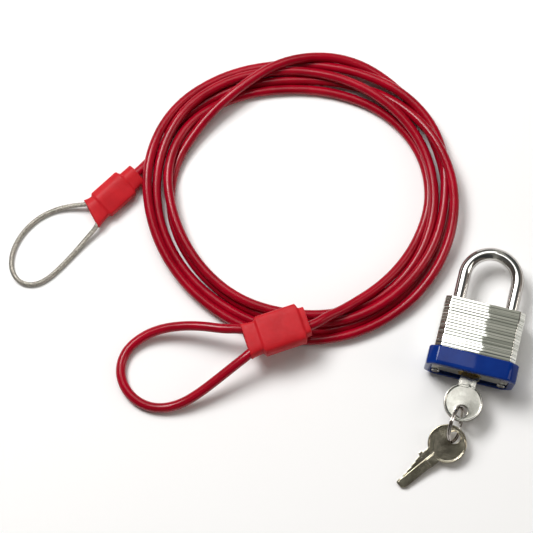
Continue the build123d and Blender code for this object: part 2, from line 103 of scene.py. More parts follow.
class Shader:
    """One procedural material. Coordinates are the piece's own, in metres."""

    def __init__(self, name, **constants):
        self.material = bpy.data.materials.new(name)
        self.material.use_nodes = True
        self.nodes = self.material.node_tree.nodes
        self.links = self.material.node_tree.links
        self.surface = next(n for n in self.nodes if n.type == "BSDF_PRINCIPLED")
        self.place = self.nodes.new("ShaderNodeTexCoord").outputs["Object"]
        self.height = None
        for key, value in constants.items():
            socket(self.surface, key.replace("_", " ")).default_value = value

    def join(self, output, target):
        self.links.new(output, target)

    def stretched(self, scale, turn):
        node = self.nodes.new("ShaderNodeMapping")
        node.inputs["Scale"].default_value = scale
        node.inputs["Rotation"].default_value = turn
        self.join(self.place, node.inputs["Vector"])
        return node.outputs["Vector"]

    def noise(self, scale, detail=3.0, rough=0.55, stretch=None, turn=(0, 0, 0)):
        vector = self.stretched(stretch, turn) if stretch else self.place
        node = self.nodes.new("ShaderNodeTexNoise")
        node.inputs["Scale"].default_value = scale
        node.inputs["Detail"].default_value = detail
        node.inputs["Roughness"].default_value = rough
        self.join(vector, node.inputs["Vector"])
        return node.outputs["Fac"]

    def ramp(self, value, stops):
        node = self.nodes.new("ShaderNodeValToRGB")
        fill_ramp(node, stops)
        self.join(value, node.inputs["Fac"])
        return node.outputs["Color"]

    def span(self, value, low, high, from_low=0.3, from_high=0.7):
        node = self.nodes.new("ShaderNodeMapRange")
        node.inputs["From Min"].default_value = from_low
        node.inputs["From Max"].default_value = from_high
        node.inputs["To Min"].default_value = low
        node.inputs["To Max"].default_value = high
        self.join(value, node.inputs["Value"])
        return node.outputs["Result"]

    def mix(self, factor, a, b):
        node = self.nodes.new("ShaderNodeMix")
        node.data_type = "RGBA"
        colours = [s for s in node.inputs if s.type == "RGBA"]
        self.join(factor, node.inputs[0])
        for value, target in ((a, colours[0]), (b, colours[1])):
            if isinstance(value, tuple):
                target.default_value = (*value, 1)
            else:
                self.join(value, target)
        return next(s for s in node.outputs if s.type == "RGBA")

    def bump(self, value, depth):
        """Adds a layer of relief: value's full range is depth metres high."""
        node = self.nodes.new("ShaderNodeBump")
        node.inputs["Strength"].default_value = 1.0
        node.inputs["Distance"].default_value = depth
        self.join(value, node.inputs["Height"])
        if self.height is not None:
            self.join(self.height, node.inputs["Normal"])
        self.height = node.outputs["Normal"]
        self.join(self.height, socket(self.surface, "Normal"))

    def set(self, name, value):
        self.join(value, socket(self.surface, name))


def jacket_material():
    s = Shader(
        "red_jacket", Metallic=0.0, IOR=1.45, Transmission_Weight=0.22, Specular_IOR_Level=0.27
    )
    cloud = s.noise(60, 4)
    fine = s.noise(900, 2)
    colour = s.ramp(cloud, [(0.3, (0.30, 0.0003, 0.010)), (0.7, (0.47, 0.0010, 0.018))])
    s.set("Base Color", colour)
    s.set("Roughness", s.span(fine, 0.14, 0.26))
    s.bump(cloud, 0.00012)
    s.bump(s.noise(2600, 2), 0.00002)
    return s.material


def sleeve_material():
    s = Shader(
        "red_sleeve",
        Metallic=0.0,
        IOR=1.46,
        Subsurface_Weight=0.12,
        Subsurface_Scale=0.0015,
        Specular_IOR_Level=0.25,
    )
    socket(s.surface, "Subsurface Radius").default_value = (1.0, 0.18, 0.10)
    cloud = s.noise(140, 4)
    colour = s.ramp(cloud, [(0.3, (0.44, 0.006, 0.012)), (0.7, (0.54, 0.011, 0.018))])
    s.set("Base Color", colour)
    s.set("Roughness", s.span(s.noise(700, 3), 0.42, 0.58))
    s.bump(cloud, 0.00025)
    s.bump(s.noise(3200, 2), 0.00004)
    return s.material


def rope_material(name, low, high):
    s = Shader(name, Metallic=1.0)
    grime = s.noise(900, 4)
    s.set("Base Color", s.ramp(grime, [(0.3, low), (0.65, high)]))
    s.set("Roughness", s.span(s.noise(2500, 2), 0.28, 0.50))
    s.bump(s.noise(6000, 2), 0.00005)
    return s.material


def zinc_material():
    """Bright zinc plate: every plate a little lighter or darker, with fine rolling lines."""
    s = Shader("zinc_plate", Metallic=1.0)
    by_plate = s.noise(1.0, 2, 0.7, stretch=(7, 620, 7))
    lines = s.noise(1.0, 2, 0.6, stretch=(16, 900, 16))
    patches = s.noise(230, 4)
    dull, usual, bright = (0.48, 0.50, 0.46), (0.70, 0.71, 0.66), (0.92, 0.92, 0.87)
    tint = s.ramp(by_plate, [(0.32, dull), (0.46, usual), (0.60, bright)])
    lined = s.mix(s.span(lines, 0.0, 0.60, 0.48, 0.62), tint, (0.42, 0.44, 0.40))
    s.set("Base Color", s.mix(s.span(patches, 0.0, 0.35, 0.50, 0.75), lined, (0.60, 0.60, 0.52)))
    s.set("Roughness", s.span(patches, 0.010, 0.028))
    s.bump(s.noise(1.0, 2, stretch=(1, 300, 1)), 0.000006)
    return s.material


def bumper_material():
    s = Shader("blue_bumper", Metallic=0.0, IOR=1.48, Specular_IOR_Level=0.20)
    cloud = s.noise(90, 4)
    s.set("Base Color", s.ramp(cloud, [(0.3, (0.001, 0.018, 0.155)), (0.7, (0.002, 0.028, 0.200))]))
    s.set("Roughness", s.span(s.noise(600, 3), 0.02, 0.06))
    s.bump(cloud, 0.00001)
    s.bump(s.noise(1700, 2), 0.000002)
    return s.material


def metal_material(
    name, low, high, rough, grain=0.00002, stretch=(60, 900, 900), turn=(0, 0, 0)
):
    """Metal between two colours. The scratches' relief is grain metres deep."""
    s = Shader(name, Metallic=1.0)
    socket(s.surface, "Specular Tint").default_value = (0.42, 0.36, 0.33, 1)
    cloud = s.noise(150, 4)
    scratches = s.noise(1.0, 3, stretch=stretch, turn=turn)
    s.set("Base Color", s.ramp(cloud, [(0.3, low), (0.7, high)]))
    s.set("Roughness", s.span(s.noise(420, 3), *rough))
    s.bump(cloud, grain * 3)
    s.bump(scratches, grain)
    return s.material


JACKET = jacket_material()
SLEEVE = sleeve_material()
ROPE_STEEL = rope_material("wire_rope", (0.24, 0.22, 0.19), (0.58, 0.55, 0.49))
CORE_STEEL = rope_material("rope_core", (0.30, 0.10, 0.10), (0.62, 0.30, 0.28))
ZINC = zinc_material()
BLUE = bumper_material()
CHROME = metal_material("chromed_bar", (0.58, 0.57, 0.55), (0.66, 0.65, 0.63), (0.03, 0.07), 0.000003)
KEY_SCRATCHES = (2600, 160, 900)
NICKEL = metal_material(
    "nickel_key",
    (0.42, 0.415, 0.375),
    (0.52, 0.51, 0.47),
    (0.16, 0.26),
    0.000006,
    KEY_SCRATCHES,
    (0, 0, 0.7),
)
WORN_NICKEL = metal_material(
    "worn_nickel",
    (0.34, 0.31, 0.23),
    (0.58, 0.54, 0.43),
    (0.12, 0.22),
    0.000008,
    KEY_SCRATCHES,
    (0, 0, 0.3),
)
RING_METAL = metal_material("nickel_ring", (0.52, 0.49, 0.46), (0.64, 0.61, 0.57), (0.06, 0.14))
RIVET_METAL = metal_material("rivet_steel", (0.42, 0.42, 0.41), (0.58, 0.58, 0.56), (0.20, 0.36), 0.00006)
SPRING_METAL = metal_material("spring_steel", (0.30, 0.30, 0.30), (0.44, 0.44, 0.44), (0.22, 0.34))
CASTING = metal_material("zinc_casting", (0.36, 0.36, 0.37), (0.48, 0.48, 0.49), (0.38, 0.52), 0.00008)
BRASS = metal_material("brass_plug", (0.52, 0.36, 0.13), (0.66, 0.50, 0.22), (0.18, 0.30), 0.00003)
FERRULE_METAL = metal_material(
    "ferrule_aluminium", (0.50, 0.50, 0.50), (0.62, 0.62, 0.62), (0.26, 0.40), 0.00006
)

# The record's material slots.
SLOT_MATERIAL = {
    "zinc_plate": ZINC,
    "rivet_steel": RIVET_METAL,
    "blue_bumper": BLUE,
    "chromed_bar": CHROME,
    "spring_steel": SPRING_METAL,
    "zinc_casting": CASTING,
    "brass_plug": BRASS,
    "nickel_key": NICKEL,
    "nickel_ring": RING_METAL,
    "red_jacket": JACKET,
    "red_sleeve": SLEEVE,
    "ferrule_aluminium": FERRULE_METAL,
    "wire_rope": ROPE_STEEL,
}

# How far a CAD node's edges are rounded, in millimetres.
EDGE_ROUNDING = {"cylinder_plug": 0.12, "cylinder_housing": 0.2}


def dress_cad_nodes():
    """Every CAD node gets its slot's material, and those in EDGE_ROUNDING get rounded edges."""
    slots = {entry["node"]: entry["material_slot"] for entry in record["subparts"]}
    for name, node in frame["nodes"].items():
        node.data.materials.clear()
        node.data.materials.append(SLOT_MATERIAL[slots[name]])
        if name in EDGE_ROUNDING:
            flatten = node.modifiers.new("flatten", "DECIMATE")
            flatten.decimate_type = "DISSOLVE"
            flatten.angle_limit = math.radians(1.0)
            rounding = node.modifiers.new("rounding", "BEVEL")
            rounding.width = EDGE_ROUNDING[name] * MM
            rounding.segments = 2
            rounding.limit_method = "ANGLE"
            rounding.angle_limit = math.radians(35)
            rounding.harden_normals = True


dress_cad_nodes()


# ------------------------------------------------------------------ mesh helpers

def piece(name, mesh, material, body, slot, *nodes):
    """Puts a mesh or curve in the scene as a piece that stands for CAD nodes."""
    made = bpy.data.objects.new(name, mesh)
    bpy.context.scene.collection.objects.link(made)
    mesh.materials.clear()
    mesh.materials.append(material)
    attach(made, body)
    if nodes:
        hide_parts(*nodes)
    return made


def mesh_from(name, points, faces):
    mesh = bpy.data.meshes.new(name)
    mesh.from_pydata([tuple(p) for p in points], [], faces)
    mesh.validate()
    mesh.polygons.foreach_set("use_smooth", [True] * len(mesh.polygons))
    mesh.update()
    return mesh


def loft_faces(rings, count, start=0, closed=False):
    """Quads between neighbouring rings of count points each."""
    faces = []
    steps = rings if closed else rings - 1
    for i in range(steps):
        a = start + i * count
        b = start + ((i + 1) % rings) * count
        for j in range(count):
            k = (j + 1) % count
            faces.append((a + j, a + k, b + k, b + j))
    return faces


def cap(count, start, flip=False):
    ring = list(range(start, start + count))
    return tuple(reversed(ring)) if flip else tuple(ring)


def frames_along(line):
    """A frame at each point of a line that turns as little as it can."""
    line = np.asarray(line, float)
    tangent = np.gradient(line, axis=0)
    tangent /= np.linalg.norm(tangent, axis=1)[:, None]
    side = np.cross(tangent[0], (0, 0, 1))
    if np.linalg.norm(side) < 1e-6:
        side = np.array((1.0, 0, 0))
    side /= np.linalg.norm(side)
    sides = []
    for t in tangent:
        side = side - t * (side @ t)
        side = side / np.linalg.norm(side)
        sides.append(side)
    sides = np.array(sides)
    return line, sides, np.cross(tangent, sides)


def evenly(line, step):
    line = np.asarray(line, float)
    along = np.concatenate([[0], np.cumsum(np.linalg.norm(np.diff(line, axis=0), axis=1))])
    at = np.linspace(0, along[-1], max(2, int(along[-1] / step) + 1))
    return np.stack([np.interp(at, along, line[:, k]) for k in range(3)], axis=1)


def route_line(curve_data):
    """The points of a route's own NURBS spline."""
    bare = bpy.data.objects.new("bare_route", curve_data.copy())
    bare.data.bevel_depth = 0
    mesh = bpy.data.meshes.new_from_object(bare)
    line = np.array([v.co for v in mesh.vertices], float).reshape(-1, 3)
    bpy.data.meshes.remove(mesh)
    bpy.data.curves.remove(bare.data)
    return line


def route_curve(name, points, resolution=8):
    """A smooth open NURBS spline with these points, in metres."""
    data = bpy.data.curves.new(name, "CURVE")
    data.dimensions = "3D"
    spline = data.splines.new("NURBS")
    spline.points.add(len(points) - 1)
    for target, point in zip(spline.points, points):
        target.co = (*point, 1)
    spline.order_u = 3
    spline.use_endpoint_u = True
    spline.resolution_u = resolution
    data.resolution_u = resolution
    return data


def strand_mesh(name, line, radius, lay_radius, pitch, sides, turn=0.0):
    """Strands laid in a helix round a line, and one core strand down the middle."""
    line, across, over = frames_along(line)
    along = np.concatenate([[0], np.cumsum(np.linalg.norm(np.diff(line, axis=0), axis=1))])
    points, faces = [], []
    angles = np.linspace(0, 2 * math.pi, sides, endpoint=False)
    for strand in range(STRANDS + 1):
        reach = 0.0 if strand == STRANDS else lay_radius
        phase = turn + 2 * math.pi * (strand / STRANDS + along / pitch)
        centre = line + reach * (np.cos(phase)[:, None] * across + np.sin(phase)[:, None] * over)
        centre, a, b = frames_along(centre)
        start = len(points)
        for c, u, v in zip(centre, a, b):
            for angle in angles:
                points.append(c + radius * (math.cos(angle) * u + math.sin(angle) * v))
        faces += loft_faces(len(centre), sides, start)
        faces.append(cap(sides, start, flip=True))
        faces.append(cap(sides, start + (len(centre) - 1) * sides))
    return mesh_from(name, points, faces)


# ------------------------------------------------------------------ the coiled cable

COIL_CENTRE = (-101.3, 67.7)
COIL_FLATTEN = 0.973
TURN_STARTS_AT = 288
TURN_STEP = 24
# Each turn's distance from the coil's middle, every TURN_STEP degrees.
TURN_RADII = [
    (66.8, 62.2, 63.2, 65.0, 64.3, 61.8, 58.9, 59.3, 64.3, 69.1, 68.0, 64.8, 63.4, 64.1, 65.7),
    (66.8, 66.6, 66.0, 65.9, 66.2, 66.1, 66.0, 68.9, 73.4, 76.2, 74.4, 72.5, 70.9, 70.0, 70.9),
    (72.3, 72.7, 72.4, 72.8, 74.0, 75.6, 77.4, 72.5, 64.9, 64.5, 67.4, 66.2, 64.9, 65.6, 67.5),
    (69.3, 69.8, 70.2, 71.5, 74.5, 75.2, 73.3, 72.3, 75.6, 79.1, 79.1, 76.5, 74.6, 73.9, 75.2),
    (76.9, 77.7, 77.5, 76.1, 73.6, 69.4, 64.9, 63.1, 66.5, 72.0),
]
# Which layer it lies in there: 0 on the floor, 1 on top of one other strand, 2 on top of two.
TURN_LAYERS = [
    (1.2, 0.0, 0.0, 0.0, 0.0, 0.0, 0.0, 0.0, 0.0, 0.7, 1.0, 1.0, 1.0, 0.9, 0.6),
    (0.3, 0.0, 0.6, 1.0, 1.0, 1.0, 1.0, 0.8, 0.9, 1.0, 0.8, 0.0, 0.0, 0.0, 0.0),
    (0.0, 0.0, 0.0, 0.0, 0.0, 0.0, 0.8, 2.0, 1.5, 0.2, 0.0, 0.0, 0.0, 0.0, 0.0),
    (0.7, 0.8, 0.9, 1.0, 1.0, 1.0, 0.5, 0.5, 0.0, 0.3, 1.0, 0.0, 0.0, 0.0, 0.0),
    (0.0, 0.0, 0.0, 0.7, 2.0, 0.8, 0.0, 0.0, 0.0, 0.0),
]
LAYER_HEIGHT = 0.9 * CABLE
LEAD_IN = [(-86.15, -2.92, 15.2), (-79.0, 1.68, 15.2), (-73.6, 8.2, 13.4), (-66.4, 14.2, 9.0)]
LEAD_OUT = [(-177.2, 75.0, 2.4), (-181.9, 63.9, 4.2), (-186.0, 57.3, 4.8), (-189.8, 51.2, 4.8)]


def coil_points():
    """The cable's control points from the large sleeve, round the coil, to the small sleeve."""
    # A quadratic spline runs this much inside control points that are TURN_STEP apart.
    outward = 1 / (0.75 + 0.25 * math.cos(math.radians(TURN_STEP)))
    points = []
    for radii, layers in zip(TURN_RADII, TURN_LAYERS):
        for i, (radius, layer) in enumerate(zip(radii, layers)):
            angle = math.radians(TURN_STARTS_AT + i * TURN_STEP)
            across = outward * radius * math.cos(angle)
            inward = outward * COIL_FLATTEN * radius * math.sin(angle)
            points.append((
                COIL_CENTRE[0] + across * math.cos(VIEW_TURN) - inward * math.sin(VIEW_TURN),
                COIL_CENTRE[1] + across * math.sin(VIEW_TURN) + inward * math.cos(VIEW_TURN),
                CABLE / 2 + LAYER_HEIGHT * layer,
            ))
    return np.array(LEAD_IN + points[1:] + LEAD_OUT) * MM


def spline_weights(count, per_span):
    """How much each control point counts at evenly spaced places along the spline."""
    spans = count - 2
    places = np.linspace(0, spans, spans * per_span + 1)
    weights = np.zeros((len(places), count))
    knots = np.clip(np.arange(-2, count + 1), 0, spans).astype(float)
    for row, place in enumerate(places):
        span = min(int(place), spans - 1)
        basis = [1.0]
        for degree in (1, 2):
            grown = [0.0] * (degree + 1)
            for r in range(degree):
                left = knots[span + 2 - degree + 1 + r]
                right = knots[span + 3 + r]
                share = basis[r] / (right - left)
                grown[r] += (right - place) * share
                grown[r + 1] += (place - left) * share
            basis = grown
        weights[row, span : span + 3] = basis
    return weights


# How the turns settle: NEAR, ALONG_APART and CLEARANCE are in cable diameters, SINK is in metres.
SETTLE_STEPS = 340
SETTLE_PER_SPAN = 7
NEAR = 2.2
ALONG_APART = 6
CLEARANCE = 1.005
PUSH_GAIN = 3.0
HOLD_PLAN = 0.16
STRAIGHTEN = 0.10
SINK = 0.00005


def settle(points, diameter):
    """Lets the turns down onto the floor and pushes them off each other.

    Where they cross, some turns still overlap at the end, by up to 0.5 mm."""
    weights = spline_weights(len(points), SETTLE_PER_SPAN)
    spread_back = (weights / weights.sum(0)).T
    wanted = points.copy()
    line = weights @ points
    along = np.concatenate([[0], np.cumsum(np.linalg.norm(np.diff(line, axis=0), axis=1))])
    free = slice(3, -4)  # the leads are held, but for LEAD_IN's last point
    for step in range(SETTLE_STEPS):
        line = weights @ points
        if step % 20 == 0:
            flat = line[:, None, :] - line[None, :, :]
            near = np.sqrt((flat**2).sum(2)) < NEAR * diameter
            apart = np.abs(along[:, None] - along[None, :]) > ALONG_APART * diameter
            first, second = np.nonzero(np.triu(near & apart))
        gap = line[first] - line[second]
        distance = np.sqrt((gap**2).sum(1)) + 1e-9
        overlap = np.maximum(diameter * CLEARANCE - distance, 0)
        push = gap / distance[:, None] * (overlap * 0.5)[:, None]
        moved = np.zeros_like(line)
        touching = np.zeros(len(line))
        np.add.at(moved, first, push)
        np.add.at(moved, second, -push)
        np.add.at(touching, first, overlap > 0)
        np.add.at(touching, second, overlap > 0)
        moved /= np.sqrt(np.maximum(touching, 1))[:, None]
        moved[:, 2] += np.maximum(diameter / 2 - line[:, 2], 0)
        ease = 1 - step / SETTLE_STEPS
        bend = np.zeros_like(points)
        bend[1:-1] = (points[:-2] + points[2:]) / 2 - points[1:-1]
        after = points + PUSH_GAIN * (spread_back @ moved)
        after[:, :2] += HOLD_PLAN * ease * (wanted - points)[:, :2]
        after[:, 2] += STRAIGHTEN * ease * bend[:, 2] - SINK * ease
        points[free] = after[free]
    return points


STRANDS = 6
STRAND_RADIUS = 0.40
CORE_LAY_RADIUS = 0.78
CORE_PITCH = 17
CORE_STEP = 1.3
EYE_LAY_RADIUS = 0.80
EYE_PITCH = 8.5
EYE_STEP = 0.45


def cable_core(name, route, first_turn):
    """The wire rope inside the clear jacket."""
    line = evenly(route, CORE_STEP * MM)
    radius, lay_radius = STRAND_RADIUS * MM, CORE_LAY_RADIUS * MM
    mesh = strand_mesh(name, line, radius, lay_radius, CORE_PITCH * MM, 6, first_turn)
    return piece(name, mesh, CORE_STEEL, "cable", "wire_rope")


def jacketed(name, points, resolution, *nodes):
    data = route_curve(name, points, resolution)
    data.bevel_depth = CABLE / 2 * MM
    data.bevel_resolution = 6
    data.use_fill_caps = True
    made = piece(name, data, JACKET, "cable", "red_jacket", *nodes)
    return made, route_line(data)


cable_points = settle(coil_points(), CABLE * MM)
main_cable, main_route = jacketed(
    "main_cable", cable_points, 8, "cable_coil", "large_lead", "small_lead"
)
main_core = cable_core("main_cable_core", main_route, 0.0)


def sleeve_point(place, turn, x, y, z=0.0):
    a = math.radians(turn)
    return (
        place[0] + x * math.cos(a) - y * math.sin(a),
        place[1] + x * math.sin(a) + y * math.cos(a),
        place[2] + z,
    )


LARGE_EYE = [
    (-113.7, -9.0, 15.2),
    (-121.6, -11.0, 14.5),
    (-132.0, -11.6, 12.4),
    (-143.0, -13.4, 9.4),
    (-153.2, -17.0, 6.2),
    (-161.0, -22.6, 3.8),
    (-166.4, -30.0, 2.5),
    (-167.6, -38.6, 2.4),
    (-164.6, -46.6, 2.4),
    (-158.2, -52.6, 2.4),
    (-149.6, -55.4, 2.4),
    (-140.8, -54.2, 2.8),
    (-132.6, -49.8, 4.6),
    (-125.4, -43.0, 7.4),
    (-118.4, -34.8, 10.4),
    (-112.0, -27.0, 13.2),
    (-106.6, -20.6, 15.2),
]
SMALL_EYE = [
    (-206.9, 36.4, 4.2),
    (-214.4, 34.2, 2.6),
    (-221.6, 30.4, 1.3),
    (-227.8, 24.6, 1.2),
    (-232.2, 17.6, 1.2),
    (-234.8, 10.0, 1.2),
    (-235.3, 2.6, 1.2),
    (-233.4, -4.4, 1.2),
    (-228.4, -9.4, 1.2),
    (-221.4, -9.8, 1.2),
    (-215.2, -5.6, 1.2),
    (-209.6, 3.0, 1.2),
    (-204.6, 12.6, 1.4),
    (-200.8, 20.4, 2.6),
    (-197.0, 27.4, 4.2),
]


def eye_points(points, place, turn, end_x, throat_x, strand_y):
    """The eye's route, with both ends carried into the sleeve, in metres."""
    into = [sleeve_point(place, turn, x, strand_y) for x in (end_x, throat_x)]
    out = [sleeve_point(place, turn, x, -strand_y) for x in (throat_x, end_x)]
    return np.array(into + points + out) * MM


large_eye_points = eye_points(LARGE_EYE, LARGE_SLEEVE_AT, LARGE_SLEEVE_TURN, 9.5, -9.5, 2.7)
large_eye, large_eye_route = jacketed("large_eye_cable", large_eye_points, 8, "large_eye")
large_core = cable_core("large_eye_core", large_eye_route, 0.4)

small_eye_points = eye_points(SMALL_EYE, SMALL_SLEEVE_AT, SMALL_SLEEVE_TURN, 7.0, -8.5, 1.6)
small_eye_route = route_line(route_curve("small_eye_route", small_eye_points, 12))
small_eye_line = evenly(small_eye_route, EYE_STEP * MM)
small_eye_sizes = (STRAND_RADIUS * MM, EYE_LAY_RADIUS * MM, EYE_PITCH * MM)
small_eye = piece(
    "small_eye_rope",
    strand_mesh("small_eye_rope", small_eye_line, *small_eye_sizes, 9),
    ROPE_STEEL,
    "cable",
    "wire_rope",
    "small_eye",
)


# ------------------------------------------------------------------ the sleeves

def sleeve_mesh(name, place, turn, profile, section, slant, wall):
    """A moulded sleeve, lofted along its own X.

    profile is (x, half width, half depth, shift in Y) along it; slant is how much further the
    mouth reaches on one side than the other."""
    knots = np.array(profile, float)
    xs = np.arange(knots[0, 0], knots[-1, 0] + 0.01, 0.28)
    sizes = np.stack([np.interp(xs, knots[:, 0], knots[:, k]) for k in (1, 2, 3)], axis=1)
    kernel = np.array([1, 2, 3, 2, 1]) / 9
    padded = np.pad(sizes, ((2, 2), (0, 0)), mode="edge")
    sizes = np.stack([np.convolve(padded[:, k], kernel, "valid") for k in range(3)], axis=1)
    neck = knots[2, 0] - knots[0, 0]
    count = len(section)

    def ring(x, half_width, half_depth, shift):
        lean = slant * max(0.0, 1 - (x - knots[0, 0]) / neck)
        return [
            sleeve_point(place, turn, x + lean * sy, shift + sy * half_width, sz * half_depth)
            for sy, sz in section
        ]

    x, (w, d, c) = xs[0], sizes[0]
    points = []
    points += ring(x + 4.0, w - wall - 0.5, d - wall - 0.2, c)
    points += ring(x + 0.6, w - wall, d - wall, c)
    points += ring(x + 0.15, w - 0.8 * wall, d - 0.8 * wall, c)
    points += ring(x, w - 0.5 * wall, d - 0.5 * wall, c)
    points += ring(x + 0.1, w - 0.15 * wall, d - 0.15 * wall, c)
    for x, (w, d, c) in zip(xs[1:], sizes[1:]):
        points += ring(x, w, d, c)
    for reach, inset in ((0.12, 0.08), (0.22, 0.25), (0.26, 0.5), (0.26, 2.6)):
        points += ring(x + reach, w - inset, d - inset, c)
    rings = len(points) // count
    faces = loft_faces(rings, count)
    faces.append(cap(count, 0, flip=True))
    faces.append(cap(count, (rings - 1) * count))
    return mesh_from(name, np.array(points) * MM, faces)


def rounded_section(corners, softness):
    """A closed outline through corners, each rounded over a share of its two sides."""
    made = []
    per_corner = 6
    total = len(corners)
    for i, (y, z) in enumerate(corners):
        before = corners[i - 1]
        after = corners[(i + 1) % total]
        start = (y + (before[0] - y) * softness, z + (before[1] - z) * softness)
        end = (y + (after[0] - y) * softness, z + (after[1] - z) * softness)
        for k in range(per_corner):
            t = k / (per_corner - 1)
            a, b, c = (1 - t) ** 2, 2 * t * (1 - t), t * t
            made.append((a * start[0] + b * y + c * end[0], a * start[1] + b * z + c * end[1]))
    return made


LARGE_SECTION = rounded_section(
    [
        (-1.0, 0.35), (-0.80, 1.0), (0.86, 1.0), (1.0, 0.62),
        (1.0, -0.5), (0.8, -1.0), (-0.8, -1.0), (-1.0, -0.5),
    ],
    0.34,
)
SMALL_SECTION = rounded_section(
    [
        (-1.0, 0.0), (-0.93, 0.38), (0.36, 1.0), (0.93, 0.52),
        (1.0, -0.3), (0.8, -1.0), (-0.8, -1.0), (-1.0, -0.4),
    ],
    0.30,
)

large_sleeve = piece(
    "large_sleeve_moulding",
    sleeve_mesh(
        "large_sleeve_moulding",
        LARGE_SLEEVE_AT,
        LARGE_SLEEVE_TURN,
        [
            (-16.6, 9.1, 3.9, 0.0),
            (-14.2, 8.5, 4.1, 0.0),
            (-9.9, 8.1, 4.3, 0.0),
            (-9.2, 10.0, 5.2, 0.0),
            (12.0, 10.0, 5.2, 0.0),
            (12.3, 7.4, 4.3, 0.0),
            (15.3, 7.2, 4.2, 0.0),
        ],
        LARGE_SECTION,
        0.0,
        1.0,
    ),
    SLEEVE,
    "cable",
    "red_sleeve",
    "large_sleeve",
)
small_sleeve = piece(
    "small_sleeve_moulding",
    sleeve_mesh(
        "small_sleeve_moulding",
        SMALL_SLEEVE_AT,
        SMALL_SLEEVE_TURN,
        [
            (-15.1, 8.0, 3.5, 0.0),
            (-12.4, 7.1, 3.7, 0.0),
            (-8.9, 6.6, 4.0, 0.0),
            (-8.3, 7.9, 4.7, 0.0),
            (8.6, 7.9, 4.7, 0.0),
            (8.9, 6.0, 4.1, -0.5),
            (15.7, 5.9, 4.0, -0.5),
        ],
        SMALL_SECTION,
        2.0,
        0.8,
    ),
    SLEEVE,
    "cable",
    "red_sleeve",
    "small_sleeve",
)


# ------------------------------------------------------------------ the padlock's plates

BODY_WIDTH = 40.0
BODY_DEPTH = 20.0
BODY_CHAMFER = 3.0
LEG_X = 13.2
LEG_HOLE = 3.3
KEYWAY_HOLE = 5.7
CYLINDER_HOLE = 7.75
CYLINDER_END_Y = 14.25
LEFT_LEG_FROM_Y = 5.25
RIGHT_LEG_FROM_Y = 17.25


def octagon(width, depth, corner, soft=0.35, per_corner=4):
    """A rectangle with cut corners, each of the eight edges slightly rounded."""
    x, z = width / 2, depth / 2
    corners = [
        (x, z - corner), (x - corner, z), (-x + corner, z), (-x, z - corner),
        (-x, -z + corner), (-x + corner, -z), (x - corner, -z), (x, -z + corner),
    ]
    made = []
    for i, corner_at in enumerate(corners):
        p = Vector(corner_at)
        to_before = (Vector(corners[i - 1]) - p).normalized() * soft
        to_after = (Vector(corners[(i + 1) % 8]) - p).normalized() * soft
        for k in range(per_corner):
            t = k / (per_corner - 1)
            bend = (1 - t) ** 2 * (p + to_before) + 2 * t * (1 - t) * p + t * t * (p + to_after)
            made.append(tuple(bend))
    return made


def circle(x, z, radius):
    count = 40
    return [
        (x + radius * math.cos(2 * math.pi * i / count), z + radius * math.sin(2 * math.pi * i / count))
        for i in range(count)
    ]


def flat_solid(name, loops, low, high, edge):
    """A flat solid in millimetres: a filled outline in X and Y with rounded rims."""
    data = bpy.data.curves.new(name, "CURVE")
    data.dimensions = "2D"
    data.fill_mode = "BOTH"
    for number, loop in enumerate(loops):
        spline = data.splines.new("POLY")
        spline.points.add(len(loop) - 1)
        ordered = loop if number == 0 else list(reversed(loop))
        for target, (x, y) in zip(spline.points, ordered):
            target.co = (x, y, 0, 1)
        spline.use_cyclic_u = True
    data.extrude = (high - low) / 2 - edge
    data.bevel_depth = edge
    data.bevel_resolution = 2
    data.offset = -edge
    source = bpy.data.objects.new(name, data)
    mesh = bpy.data.meshes.new_from_object(source)
    bpy.data.objects.remove(source)
    bpy.data.curves.remove(data)
    mesh.transform(Matrix.Translation((0, 0, (low + high) / 2)))
    mesh.name = name
    mesh.polygons.foreach_set("use_smooth", [False] * len(mesh.polygons))
    return mesh


def punched(name, loops, y_low, y_high, edge):
    """A body plate: its outline lies in X and Z, and its thickness along Y."""
    mesh = flat_solid(name, loops, y_low, y_high, edge)
    mesh.transform(Matrix(((MM, 0, 0, 0), (0, 0, MM, 0), (0, -MM, 0, LOCK_Z * MM), (0, 0, 0, 1))))
    return mesh


def joined(name, meshes, place):
    """One mesh of several shells, moved from millimetres to their place."""
    points, faces, smooth = [], [], []
    for mesh in meshes:
        start = len(points)
        points += [v.co.copy() for v in mesh.vertices]
        faces += [tuple(start + i for i in f.vertices) for f in mesh.polygons]
        smooth += [f.use_smooth for f in mesh.polygons]
        bpy.data.meshes.remove(mesh)
    made = mesh_from(name, [place @ p * MM for p in points], faces)
    made.polygons.foreach_set("use_smooth", smooth)
    return made


